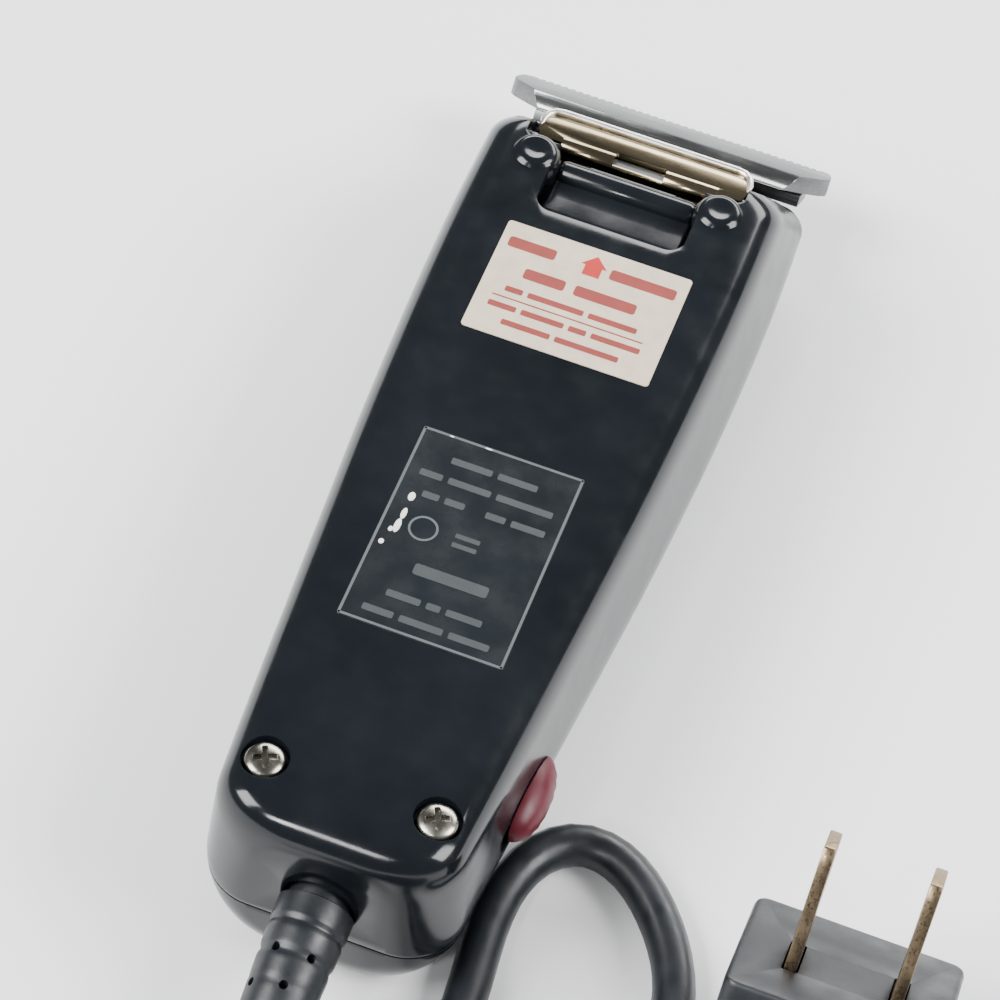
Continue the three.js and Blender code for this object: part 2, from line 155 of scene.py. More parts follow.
def bump(tree, shader, source, height, strength):
    node = tree.nodes.new("ShaderNodeBump")
    node.inputs["Distance"].default_value = height
    node.inputs["Strength"].default_value = strength
    tree.links.new(source, node.inputs["Height"])
    previous = shader.inputs["Normal"].links
    if previous:
        tree.links.new(previous[0].from_socket, node.inputs["Normal"])
    tree.links.new(node.outputs["Normal"], shader.inputs["Normal"])


def moulded(name, color, rough, speck=0.0):
    material, tree, shader = base_material(name, color, rough, IOR=1.42)
    lighter = tuple(c * 1.35 + 0.002 for c in color)
    vary(tree, shader, "Base Color", 60, color, lighter)
    vary(tree, shader, "Roughness", 240, rough * 0.75, rough * 1.35)
    bump(tree, shader, noise(tree, 900, 3), FINE_RELIEF, 0.15)
    if speck:
        scratch = ramp(tree, noise(tree, 160, 8, (14, 1, 1)), [(0.64, 0.0), (0.7, 1.0)])
        bump(tree, shader, scratch, FINE_RELIEF, speck)
    return material


def metal(name, color, rough, grain, scale=120, dirt=0.75):
    material, tree, shader = base_material(name, color, rough, 1.0)
    vary(tree, shader, "Base Color", 90, tuple(c * dirt for c in color), color)
    vary(tree, shader, "Roughness", scale, rough * 0.7, rough * 1.4, grain)
    bump(tree, shader, noise(tree, scale * 3, 3, grain), FINE_RELIEF, 0.22)
    return material


def rubbery(name, color, rough):
    material, tree, shader = base_material(name, color, rough)
    darker, lighter = (tuple(c * share for c in color) for share in (0.75, 1.3))
    vary(tree, shader, "Base Color", 140, darker, lighter)
    vary(tree, shader, "Roughness", 300, rough * 0.8, rough * 1.25)
    bump(tree, shader, noise(tree, 2500, 2), RUBBER_RELIEF, 0.35)
    return material


def printed_film(name, color, rough):
    material, tree, shader = base_material(name, color, rough)
    vary(tree, shader, "Base Color", 420, tuple(c * 0.86 for c in color), color)
    bump(tree, shader, noise(tree, 3000, 3), FINE_RELIEF, 0.4)
    return material


def make_looks():
    return {
        "shell": moulded("glossy_black", (0.0038, 0.0052, 0.0070), 0.15, 0.06),
        "steel": metal("ground_steel", (0.19, 0.198, 0.2), 0.42, (1, 30, 30)),
        "polished": metal("polished_steel", (0.46, 0.465, 0.455), 0.22, (1, 8, 8), 160, 0.55),
        # The rolled rim is the same sheet as the hinge plate: its near-white colour is a painted
        # highlight along the edge.
        "rim": metal("rim_painted_highlight", (0.95, 0.92, 0.83), 0.36, (1, 1, 1), 300, 0.9),
        "cutter": metal("cutter_steel", (0.16, 0.162, 0.165), 0.33, (1, 30, 30)),
        "nickel": metal("nickel", (0.62, 0.58, 0.50), 0.24, (1, 1, 1), 700, 0.3),
        # On the hinge plate this warm golden tone is a painted reflection of warm light on plated steel,
        # and its noise darkening is wear. The switch contact uses it as brass.
        "brass": metal("worn_plate_and_warm_sheen", (0.30, 0.245, 0.155), 0.17, (1, 6, 6), 60, 0.6),
        "pin": metal("plug_brass", (0.36, 0.27, 0.17), 0.34, (30, 1, 30), 120, 0.5),
        "rubber": rubbery("cord_rubber", (0.007, 0.0092, 0.012), 0.4),
        "red": moulded("red_plastic", (0.075, 0.0018, 0.009), 0.4),
        "cream": printed_film("cream_film", (0.60, 0.515, 0.385), 0.5),
        "plate": moulded("black_film", (0.007, 0.009, 0.011), 0.24),
        "silver_ink": printed_film("silver_ink", (0.085, 0.094, 0.102), 0.4),
        "faded_ink": printed_film("faded_ink", (0.036, 0.041, 0.045), 0.45),
        "red_ink": printed_film("red_ink", (0.235, 0.028, 0.02), 0.55),
        "arrow_ink": printed_film("arrow_ink", (0.44, 0.013, 0.008), 0.55),
        "copper": metal("copper", (0.55, 0.24, 0.12), 0.3, (1, 60, 1), 200),
        "iron": metal("lamination", (0.2, 0.205, 0.21), 0.45, (1, 1, 90), 200),
        "nylon": moulded("nylon", (0.62, 0.59, 0.5), 0.4),
        "white_paint": printed_film("white_paint", (0.8, 0.8, 0.78), 0.6),
    }


# ---------------------------------------------------------------- mesh tools
def new_object(name, data, body, look, *stands_for):
    """A piece that rides on a body and stands for the named CAD nodes."""
    made = bpy.data.objects.new(name, data)
    bpy.context.scene.collection.objects.link(made)
    data.materials.append(looks[look])
    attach(made, body)
    if stands_for:
        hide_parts(*stands_for)
    return made


def mesh_from(name, points, faces):
    data = bpy.data.meshes.new(name)
    data.from_pydata([tuple(c * MM for c in p) for p in points], [], faces)
    made = bmesh.new()
    made.from_mesh(data)
    bmesh.ops.remove_doubles(made, verts=made.verts, dist=1e-7)
    bmesh.ops.recalc_face_normals(made, faces=made.faces)
    made.to_mesh(data)
    made.free()
    return data


def loft(name, rings):
    """A closed mesh through equal rings of points, with flat ends."""
    count = len(rings[0])
    faces = [list(range(count))[::-1], [(len(rings) - 1) * count + i for i in range(count)]]
    for r in range(len(rings) - 1):
        for i in range(count):
            j = (i + 1) % count
            faces.append([r * count + i, r * count + j, (r + 1) * count + j, (r + 1) * count + i])
    return mesh_from(name, [p for ring in rings for p in ring], faces)


def prism(name, outline, low, high, axis="z"):
    """An outline pushed along an axis: x takes (y, z) outlines, y takes (x, z), z takes (x, y)."""
    put = {
        "x": lambda a, b, h: (h, a, b),
        "y": lambda a, b, h: (a, h, b),
        "z": lambda a, b, h: (a, b, h),
    }[axis]
    return loft(name, [[put(a, b, h) for a, b in outline] for h in (low, high)])


def circle(x, y, radius, count=48):
    turns = [2 * math.pi * i / count for i in range(count)]
    return [(x + radius * math.cos(t), y + radius * math.sin(t)) for t in turns]


def slab(name, low, high):
    """A block wider and longer than the housing, between two heights."""
    return prism(name, rounded(0, 0, 60, 90, 1, 1), low, high)


def rounded(x, y, half_x, half_y, radius, steps):
    points = []
    for sx, sy, start in ((1, 1, 0), (-1, 1, 90), (-1, -1, 180), (1, -1, 270)):
        for i in range(steps + 1):
            a = math.radians(start + 90 * i / steps)
            points.append(
                (
                    x + sx * (half_x - radius) + radius * math.cos(a),
                    y + sy * (half_y - radius) + radius * math.sin(a),
                )
            )
    return points


def lathe(name, profile, count=48):
    """A solid of revolution about z from (radius, z) points that start and end on the axis."""
    rings = [[(r * math.cos(a), r * math.sin(a), z) for r, z in profile]
             for a in (2 * math.pi * i / count for i in range(count))]
    n = len(profile)
    faces = []
    for i in range(count):
        for k in range(n - 1):
            a, b = i * n + k, ((i + 1) % count) * n + k
            faces.append([a, b, b + 1, a + 1])
    return mesh_from(name, [p for ring in rings for p in ring], faces)


def joined(name, meshes):
    """One mesh of several that don't overlap, so that it can serve as a boolean's tool."""
    made = bmesh.new()
    for data in meshes:
        made.from_mesh(data)
    result = bpy.data.meshes.new(name)
    made.to_mesh(result)
    made.free()
    return result


def combine(made, how, tool_mesh):
    """Joins a tool to a piece, cuts it out, or keeps what they share."""
    tool = bpy.data.objects.new("tool", tool_mesh)
    bpy.context.scene.collection.objects.link(tool)
    step = made.modifiers.new("combine", "BOOLEAN")
    step.operation, step.solver, step.object = how, "EXACT", tool
    apply_modifiers(made)
    bpy.data.objects.remove(tool)


def apply_modifiers(made):
    graph = bpy.context.evaluated_depsgraph_get()
    data = bpy.data.meshes.new_from_object(made.evaluated_get(graph))
    made.modifiers.clear()
    made.data = data


def soften(made, width, angle, segments=2):
    """Rounds the sharp edges, then shades smooth where faces meet gently."""
    clean(made.data)
    step = made.modifiers.new("round", "BEVEL")
    step.width, step.segments = width * MM, segments
    step.limit_method, step.angle_limit = "ANGLE", math.radians(angle)
    step.miter_outer = "MITER_ARC"
    step.use_clamp_overlap = True
    apply_modifiers(made)
    smooth(made.data, angle)


SLIVER = 0.015


def clean(data):
    """Merges the slivers that a boolean leaves."""
    made = bmesh.new()
    made.from_mesh(data)
    bmesh.ops.remove_doubles(made, verts=made.verts, dist=SLIVER * MM)
    made.to_mesh(data)
    made.free()


def smooth(data, angle=32):
    made = bmesh.new()
    made.from_mesh(data)
    for face in made.faces:
        face.smooth = True
    for edge in made.edges:
        gentle = edge.calc_face_angle(0) < math.radians(angle)
        edge.smooth = len(edge.link_faces) == 2 and gentle
    made.to_mesh(data)
    made.free()


def turned(data, matrix):
    data.transform(matrix)
    return data


# ---------------------------------------------------------------- cord
# The CAD model's own routes of the cord's middle, before SHIFT is added.
ROUTE_TO_COIL = [
    (0, -106, 4.9), (-0.1, -109, 3.9), (-0.4, -114, 3), (-1.2, -119, 2.8), (-3.2, -127, 3.2),
]
ROUTE_FROM_COIL = [(31, -110.6, 7.4), (24, -105.6, 3.8), (20.4, -101, 3), (18.6, -94, 2.8)]
ROUTE_TO_PLUG = [
    (18.6, -83, 2.8), (19.2, -72, 2.8), (18.5, -64, 2.8), (17.8, -57, 2.8), (18.2, -51, 2.8),
    (20.2, -46, 2.8), (23.6, -42.8, 2.8), (27.8, -42.2, 2.8), (32.2, -44.2, 2.8),
    (36.8, -48.6, 2.8), (40.6, -54, 2.8),
    (43, -60.5, 2.8), (43, -68, 2.8), (40.4, -76, 2.8), (38.6, -84, 2.8), (38.4, -92, 2.8),
    (41.7, -100.1, 2.8), (49.8, -103.4, 2.8), (57.9, -100.1, 2.9), (61.2, -92.2, 3.5), (61.2, -90.2, 3.7),
]
COIL_FROM, COIL_TO, COIL_STEP = 163, 75 + 360 * 8, 12  # degrees round the coil, counter-clockwise
CORD_POINT_SPACING = 2.5
CORD_SMOOTHING = 4


def ease(t):
    t = min(1, max(0, t))
    return t * t * (3 - 2 * t)


def coil_points():
    """Four turns inwards on the floor, then nearly four outwards on top of them."""
    points = []
    for degrees in range(COIL_FROM, COIL_TO + 1, COIL_STEP):
        turns = (degrees - COIL_FROM) / 360
        whole = int(turns)
        place = whole + ease((turns - whole - 0.75) / 0.25)
        upper = ease((turns - COIL_COLUMNS + 0.25) / 0.25)
        column = COIL_COLUMNS - 1 - place if turns < COIL_COLUMNS - 0.25 else place - COIL_COLUMNS
        column = min(COIL_COLUMNS - 1, max(0, column))
        radius = COIL_R + (column - (COIL_COLUMNS - 1) / 2) * COIL_PITCH
        a = math.radians(degrees)
        x, y = COIL_X + radius * math.cos(a), COIL_Y + radius * math.sin(a)
        points.append((x, y, COIL_BASE + upper * COIL_PITCH))
    return points


def smooth_line(points):
    """Points at even spacing along a centripetal Catmull-Rom curve through the given ones."""
    knots = [Vector(p) for p in points]
    knots = [knots[0] * 2 - knots[1], *knots, knots[-1] * 2 - knots[-2]]
    line = []
    for a, b, c, d in zip(knots, knots[1:], knots[2:], knots[3:]):
        t0, t1 = 0, (b - a).length ** 0.5
        t2 = t1 + (c - b).length ** 0.5
        t3 = t2 + (d - c).length ** 0.5
        count = max(1, round((c - b).length / CORD_POINT_SPACING))
        for i in range(count):
            t = t1 + (t2 - t1) * i / count
            ab = a.lerp(b, (t - t0) / (t1 - t0))
            bc = b.lerp(c, (t - t1) / (t2 - t1))
            cd = c.lerp(d, (t - t2) / (t3 - t2))
            abc = ab.lerp(bc, (t - t0) / (t2 - t0))
            bcd = bc.lerp(cd, (t - t1) / (t3 - t1))
            line.append(abc.lerp(bcd, (t - t1) / (t2 - t1)))
    line.append(knots[-2])
    for _ in range(CORD_SMOOTHING):  # evens out the bends between the given points
        middle = [(a + 2 * b + c) / 4 for a, b, c in zip(line, line[1:], line[2:])]
        line = [line[0], *middle, line[-1]]
    return line


def shifted(points):
    """A route moved along y into the frame's own origin."""
    return [(x, y + SHIFT, z) for x, y, z in points]


def add_cord():
    line = smooth_line(
        [*shifted(ROUTE_TO_COIL), *coil_points(), *shifted(ROUTE_FROM_COIL), *shifted(ROUTE_TO_PLUG)]
    )
    data = bpy.data.curves.new("mains_cord", "CURVE")
    data.dimensions = "3D"
    data.bevel_depth, data.bevel_resolution = CORD_R * MM, 5
    data.use_fill_caps = True
    spline = data.splines.new("POLY")
    spline.points.add(len(line) - 1)
    for point, p in zip(spline.points, line):
        point.co = (*(p * MM), 1)
    spline.use_smooth = True
    cord = new_object(
        "mains_cord", data, "housing", "rubber", "cord_to_coil", "cord_to_plug", "cord_coil"
    )
    length = sum((b - a).length for a, b in zip(line, line[1:])) * MM
    return cord, line, length


add_camera()
looks = make_looks()
mains_cord, cord_line, cord_length = add_cord()


# ---------------------------------------------------------------- housing
# Half-widths at places along y: at the widest height, and at the edge of the flat back.
WIDEST = [(-72, 16.2), (-57, 17.3), (-32, 19.6), (-3, 22), (26, 23.3), (45, 23.3), (64, 22.4)]
BACK_EDGE = [(-72, 14.8), (-57, 16), (-32, 17.6), (-3, 19.3), (26, 20.2), (45, 20), (64, 19.2)]


def along(table, y):
    """A smooth curve through a few (y, half-width) pairs, read at y."""
    y = min(table[-1][0], max(table[0][0], y))
    spans = list(zip(table, table[1:]))
    i = next(k for k, (a, b) in enumerate(spans) if y <= b[0])
    (y0, w0), (y1, w1) = spans[i]
    slope = [(b[1] - a[1]) / (b[0] - a[0]) for a, b in spans]
    start = (slope[max(0, i - 1)] + slope[i]) / 2
    end = (slope[min(len(slope) - 1, i + 1)] + slope[i]) / 2
    t, run = (y - y0) / (y1 - y0), y1 - y0
    return (
        (2 * t**3 - 3 * t**2 + 1) * w0 + (t**3 - 2 * t**2 + t) * run * start
        + (3 * t**2 - 2 * t**3) * w1 + (t**3 - t**2) * run * end
    )


WIDEST_Z = 8.5
CORNER = 5.0  # how far a section's rounded corner reaches along its sides
CORNER_STEPS = 10
SIDE_STEPS = 9
HEAD_CORNER_R = 4.6
HEAD_SLOPE = 0.834  # how far the sloping blade end falls back along y, per millimetre of height
HEAD_FOOT_Z = 7.6
END_STRETCH = 7  # the length over which the cord end draws in


def drawn_in(radius, d):
    """How far a rounding of this radius pulls a surface in, at a distance from its end."""
    return 0 if d >= radius else radius - math.sqrt(max(0, radius**2 - (radius - d) ** 2))


def body_ring(y, inset):
    """One section of the housing across y, as a ring of points."""
    d = max(0, y - END_Y - inset)
    narrow = drawn_in(END_STRETCH, d) + inset
    wide = along(WIDEST, y - SHIFT) - narrow
    edge = along(BACK_EDGE, y - SHIFT) - narrow
    top = BACK_Z - inset - drawn_in(4.5, d)
    low = inset + drawn_in(6, d)
    belly = wide * 0.62
    corners = [
        (-belly, low), (belly, low), (wide, WIDEST_Z), (edge, top), (-edge, top), (-wide, WIDEST_Z),
    ]
    arcs = []
    for i, corner in enumerate(corners):
        here = Vector(corner)
        arms = []
        for other in (corners[i - 1], corners[(i + 1) % len(corners)]):
            arm = Vector(other) - here
            arms.append(here + arm.normalized() * min(CORNER, arm.length * 0.48))
        arcs.append([
            arms[0] * (1 - t) ** 2 + here * 2 * t * (1 - t) + arms[1] * t**2
            for t in (k / CORNER_STEPS for k in range(CORNER_STEPS + 1))
        ])
    ring = []
    for i, arc in enumerate(arcs):
        following = arcs[(i + 1) % len(arcs)][0]
        straight = [arc[-1].lerp(following, k / SIDE_STEPS) for k in range(1, SIDE_STEPS)]
        for p in [*arc, *straight]:
            side = wide
            if p.y >= WIDEST_Z:
                side = edge + (wide - edge) * (top - p.y) / (top - WIDEST_Z)
            from_head = max(0, HEAD_Y + 1.6 - inset - y - HEAD_SLOPE * (p.y - HEAD_FOOT_Z))
            ring.append((p.x * (side - drawn_in(HEAD_CORNER_R, from_head)) / side, y, p.y))
    return ring


def body_loft(name, inset, to):
    """The housing's outside, or its inside when inset, as far as y = to."""
    start = END_Y + inset
    places = [start + END_STRETCH * (1 - math.cos(math.radians(a))) for a in range(0, 90, 6)]
    y = start + END_STRETCH
    while y < to - 2:
        places.append(y)
        y += 3.2 if y < 36 else 0.9
    return loft(name, [body_ring(y, inset) for y in [*places, to]])


def head_wedge():
    """What the sloping blade end of the housing is cut by."""
    outline = [(70.2, -2), (63.9, 7.6), (45.3, 30), (37, 40), (90, 40), (90, -2)]
    return prism("wedge", outline, -40, 40, "x")


def end_opening():
    return prism("opening", circle(0, 17, 4.5, 40), END_Y - 3, END_Y + 5, "y")


def switch_slot():
    return prism("slot", rounded(-49 + SHIFT, SWITCH_Z, 5.2, 1.9, 1.2, 4), 12, 24, "x")


def add_back_housing():
    outside = body_loft("housing_shell", 0, HEAD_Y + 2)
    made = new_object("housing_shell", outside, "housing", "shell", "back_housing")
    combine(made, "DIFFERENCE", body_loft("inside", WALL, HEAD_Y + 6))
    combine(made, "DIFFERENCE", head_wedge())
    combine(made, "INTERSECT", slab("upper", PARTING_Z + PARTING_GAP, 50))
    combine(made, "DIFFERENCE", joined("cuts", [
        prism("pocket", rounded(0, 36.6 + SHIFT, 10.3, 6.5, 2.4, 8), 26.9, 34),
        end_opening(),
        switch_slot(),
        prism("adjuster", circle(4 + SHIFT, 16, 2.4, 32), -30, -14, "x"),
        *[prism("recess", circle(side * SCREW_X, SCREW_Y, 2.95), 28.3, 34) for side in (-1, 1)],
    ]))
    # The well overlaps the pocket, and a boolean's tool may not overlap itself.
    hinge_well = prism("hinge_well", rounded(0, 47.4 + SHIFT, 15.4, 5.7, 1.2, 4), 24.3, 34)
    combine(made, "DIFFERENCE", hinge_well)
    crown = [
        (0, 1.25), (0.5, 1.27), (1.0, 1.36), (1.5, 1.5), (1.9, 1.56), (2.3, 1.5), (2.7, 1.26),
        (3.05, 0.85), (3.35, 0.3), (3.5, -0.4), (3.5, -2), (0, -2),
    ]
    ears = [
        turned(lathe("ear", crown), Matrix.Translation(mm(side * 12.9, 39.2 + SHIFT, 29.1)))
        for side in (-1, 1)
    ]
    combine(made, "UNION", joined("ears", ears))
    soften(made, SHELL_BEVEL, 40)


def add_front_cover():
    outside = body_loft("cover_shell", 0, HEAD_Y + 2)
    made = new_object("cover_shell", outside, "housing", "shell", "front_cover")
    combine(made, "DIFFERENCE", body_loft("inside", WALL, HEAD_Y + 6))
    combine(made, "DIFFERENCE", head_wedge())
    combine(made, "INTERSECT", slab("lower", -5, PARTING_Z - PARTING_GAP))
    soften(made, SHELL_BEVEL, 40)


# ---------------------------------------------------------------- labels and marks
def film(name, area, look, body, *stands_for):
    x, y, half_x, half_y, low, high = area
    data = prism(name, rounded(x, y, half_x, half_y, 0.5, 4), low, high)
    made = new_object(name, data, body, look, *stands_for)
    soften(made, 0.04, 40, segments=1)


def bars(name, rows, height, look):
    """Printed bars that stand for lines of print: rows of (x centre, y, widths, bar height)."""
    meshes = []
    for x, y, widths, tall in rows:
        gap = tall * 0.75
        left = x - (sum(widths) + gap * (len(widths) - 1)) / 2
        for width in widths:
            outline = rounded(left + width / 2, y + SHIFT, width / 2, tall / 2, tall * 0.22, 3)
            meshes.append(prism("bar", outline, height, height + PRINT_HEIGHT))
            left += width + gap
    made = new_object(name, joined(name, meshes), "housing", look)
    smooth(made.data)
    return made


def add_instruction_label():
    """A cream film with a push arrow between two bars, with a rule and bars below it."""
    area = (0.6, 17 + SHIFT, 12.7, 9.525, LABEL_BASE_Z, LABEL_TOP_Z)
    film("cream_label", area, "cream", "housing", "instruction_label")
    bars("label_marks", [
        (-7.75, 23.1, [6.5], 1.75), (7.5, 23.1, [9.0], 1.75), (0.3, 18.7, [5.6, 8.4], 1.75),
        (0.2, 15.4, [2.4, 7.6, 6.6], 0.9), (0.25, 13.9, [20.5], 0.2),
        (0.25, 12.4, [3.8, 5.8, 2.4, 6.6], 0.9), (0.5, 10.0, [6.6, 8.6], 0.9),
    ], LABEL_TOP_Z, "red_ink")
    arrow = [
        (-1.75, 23.4), (0, 25.2), (1.75, 23.4), (1.15, 23.4), (1.15, 21.7), (-1.15, 21.7), (-1.15, 23.4),
    ]
    outline = [(0.65 + x, y + SHIFT) for x, y in arrow]
    printed = prism("label_arrow", outline, LABEL_TOP_Z, LABEL_TOP_Z + PRINT_HEIGHT)
    new_object("label_arrow", printed, "housing", "arrow_ink")


def add_nameplate():
    """A black film with a silver frame, a ring, and faded bars where a rating would be."""
    x, y, half_x, half_y = 0.1, -25 + SHIFT, 10.75, 15.45
    area = (x, y, half_x, half_y, LABEL_BASE_Z, NAMEPLATE_TOP_Z)
    film("rating_film", area, "plate", "housing", "nameplate")
    low, high = NAMEPLATE_TOP_Z, NAMEPLATE_TOP_Z + 0.03
    frame_bars = [(x, y + s * (half_y - 0.3), half_x - 0.2, 0.17) for s in (-1, 1)]
    frame_bars += [(x + s * (half_x - 0.3), y, 0.17, half_y - 0.2) for s in (-1, 1)]
    meshes = [prism("rule", rounded(*bar, 0.05, 1), low, high) for bar in frame_bars]
    ring_x, ring_y = -5.2, -24.6 + SHIFT
    for start in (0, 180):  # two halves, out along 1.9 mm and back along 1.6 mm
        arc = [
            (radius, math.radians(start + turn))
            for radius, turns in ((1.9, range(0, 181, 12)), (1.6, range(180, -1, -12)))
            for turn in turns
        ]
        outline = [(ring_x + r * math.cos(a), ring_y + r * math.sin(a)) for r, a in arc]
        meshes.append(prism("ring", outline, low, high))
    made = new_object("nameplate_frame", joined("nameplate_frame", meshes), "housing", "silver_ink")
    smooth(made.data)
    bars("nameplate_marks", [
        (0.1, -13.4, [5.4, 5.2], 1.0), (0.1, -16.5, [3.0, 5.6, 7.4], 1.0), (-4.4, -19.6, [2.2, 2.6], 1.0),
        (5.0, -19.6, [2.6, 4.4], 1.0), (0.4, -24.0, [3.2], 0.7), (0.4, -25.4, [3.2], 0.7),
        (0.6, -30.6, [9.6], 1.7), (0.1, -35.2, [4.4, 1.8, 4.6], 1.0), (0.1, -38.2, [4.0, 5.6, 5.2], 1.0),
    ], low, "faded_ink")


def add_paint_specks():
    """Flat drops of white paint beside the nameplate: x, y and the two half-widths of each."""
    specks = [
        (-8.2, -20.6, 0.45, 0.7), (-8.2, -23.4, 0.35, 0.9), (-8.3, -25.4, 0.42, 1.1),
        (-8.9, -26.2, 0.3, 0.4), (-9.3, -28.4, 0.35, 0.4), (-6.8, -9.9, 0.3, 0.12),
        (-1.9, -9.9, 0.5, 0.12),
    ]
    turns = [math.radians(a) for a in range(0, 181, 15)]
    drop = [(math.sin(t), 0.1 * math.cos(t)) for t in turns]
    meshes = []
    for x, y, half_x, half_y in specks:
        place = Matrix.Translation(mm(x, y + SHIFT, 30.08))
        meshes.append(turned(lathe("speck", drop, 20), place @ Matrix.Diagonal((half_x, half_y, 1, 1))))
    made = new_object("paint_specks", joined("paint_specks", meshes), "housing", "white_paint")
    smooth(made.data, 60)


# ---------------------------------------------------------------- screws and lever
def add_housing_screws():
    """Two pan-head screws with a cross in the head."""
    radius, height, shank = 2.5, 1.3, 1.29
    turns = [math.radians(a) for a in range(15, 91, 15)]
    dome = [(radius * math.sin(t), height * (0.35 + 0.65 * math.cos(t))) for t in turns]
    profile = [(0, height), *dome, (radius, 0), (shank, 0), (shank, -21.5), (0, -21.8)]
    for side_name, side in (("left", -1), ("right", 1)):
        name = "case_screw_" + side_name
        made = new_object(name, lathe(name, profile), "housing", "nickel", "housing_screw_" + side_name)
        for half_x, half_y in ((0.36, 1.5), (1.5, 0.36)):
            arm = prism("slot", rounded(0, 0, half_x, half_y, 0.15, 3), height * 0.35, height + 1)
            combine(made, "DIFFERENCE", arm)
        place = Matrix.Translation(mm(side * SCREW_X, SCREW_Y, 28.75))
        made.data.transform(place @ Matrix.Rotation(math.radians(24), 4, "Z"))
        soften(made, 0.08, 40)


def add_lever():
    """The release bar: a round bar on its pin, with a flat paddle to press and a short tongue."""
    ends = [
        (0, -9.5), (1.2, -9.5), (1.7, -9.25), (1.9, -8.7), (1.9, 8.7), (1.7, 9.25), (1.2, 9.5), (0, 9.5),
    ]
    bar = lathe("bar", ends, 40)
    bar.transform(Matrix.Translation(mm(0, LEVER_Y, LEVER_Z)) @ Matrix.Rotation(math.pi / 2, 4, "Y"))
    made = new_object("release_bar", bar, "release_lever", "shell", "release_lever")
    paddle = []
    for y, z, thick in ((31.0, 26.6, 1.0), (31.6, 27.3, 1.8), (33, 27.25, 1.9), (35.5, 26.9, 1.8),
                        (38, 26.75, 1.8), (39.2, 27.0, 1.9), (40.6, 27.3, 2.0)):
        half = 9.2 if y < 31.4 else 9.6
        outline = rounded(0, z - thick / 2, half, thick / 2, 0.45, 4)
        paddle.append([(a, y + SHIFT, b) for a, b in outline])
    combine(made, "UNION", loft("paddle", paddle))
    tongue = prism("tongue", rounded(41.8 + SHIFT, 25.2, 1.6, 0.5, 0.2, 2), -6, 6, "x")
    combine(made, "UNION", tongue)
    combine(made, "DIFFERENCE", prism("bore", circle(LEVER_Y, LEVER_Z, PIN_BORE_R, 24), -12, 12, "x"))
    soften(made, 0.15, 35)


# ---------------------------------------------------------------- blade set
# The blades are drawn flat, with y from the heel to the teeth, and then tilted into place.
BLADE = Matrix.Translation(mm(0, HEEL_Y, HEEL_Z)) @ Matrix.Rotation(-BLADE_TILT, 4, "X")


def teeth(name, half, pitch, gap, root, tip, low, high):
    """The gaps between teeth, round at the root, as one tool to cut with."""
    count = int(2 * half / pitch)
    cuts = []
    for i in range(count + 1):
        x = (i - count / 2) * pitch
        outline = [(x - gap / 2, tip), (x - gap / 2, root + gap / 2)]
        outline += [
            (x - gap / 2 * math.cos(t), root + gap / 2 * (1 - math.sin(t)))
            for t in (math.radians(a) for a in range(15, 166, 30))
        ]
        outline += [(x + gap / 2, root + gap / 2), (x + gap / 2, tip)]
        cuts.append(prism("gap", outline, low, high))
    return joined(name, cuts)


def add_fixed_blade():
    """The comb: a hollow-ground heel, a flat skin side, wings with cut corners and a toothed edge."""
    turns = [math.radians(a) for a in range(0, 90, 9)]
    hollow = [(-2.9 + 3.0 * math.sin(t), -2.05 * math.cos(t) ** 1.4) for t in turns]
    profile = [
        (-2.9, -2.15), *hollow, (0.1, 0), (8.5, 0), (11.0, -0.28), (11.3, -0.5), (11.2, -0.75),
        (7.6, -2.4), (0.2, -2.4),
    ]
    data = prism("comb", profile, -23.3, 23.3, "x")
    made = new_object("t_comb", data, "blade_set", "steel", "fixed_blade")
    right = [
        (17.2, -3.2), (18.9, -0.4), (22.4, 3.0), (23.2, 4.6), (23.2, 6.4), (22.6, 9.4), (21.8, 11.2),
        (21.5, 12),
    ]
    outline = right + [(-x, y) for x, y in right[::-1]]
    combine(made, "INTERSECT", prism("outline", outline, -3, 1))
    combine(made, "DIFFERENCE", teeth("gaps", 20.8, 1.12, 0.5, 8.6, 12.5, -3, 1))
    made.data.materials.append(looks["polished"])  # for the hollow alone
    soften(made, 0.1, 28)
    for face in made.data.polygons:
        if face.center.y < 0.02 * MM and 0.02 < face.normal.z < 0.999:
            face.material_index = 1
    made.data.transform(BLADE)


def add_cutter():
    """The moving blade under the comb, with the two prongs that the armature drives between."""
    profile = [(0.3, -2.75), (7.4, -2.75), (9.4, -3.3), (9.45, -3.6), (8.8, -4.3), (0.3, -4.3)]
    data = prism("cutter", profile, -18.5, 20.3, "x")
    made = new_object("cutter_bar", data, "cutter", "cutter", "moving_cutter")
    prongs = [prism("prong", rounded(side * 2.4, 3, 1, 2, 0.3, 3), -8.4, -4.1) for side in (-1, 1)]
    combine(made, "UNION", joined("prongs", prongs))
    combine(made, "DIFFERENCE", teeth("gaps", 17.6, 1.9, 0.8, 6.6, 10.5, -5, -2))
    soften(made, 0.1, 35)
    made.data.transform(BLADE)


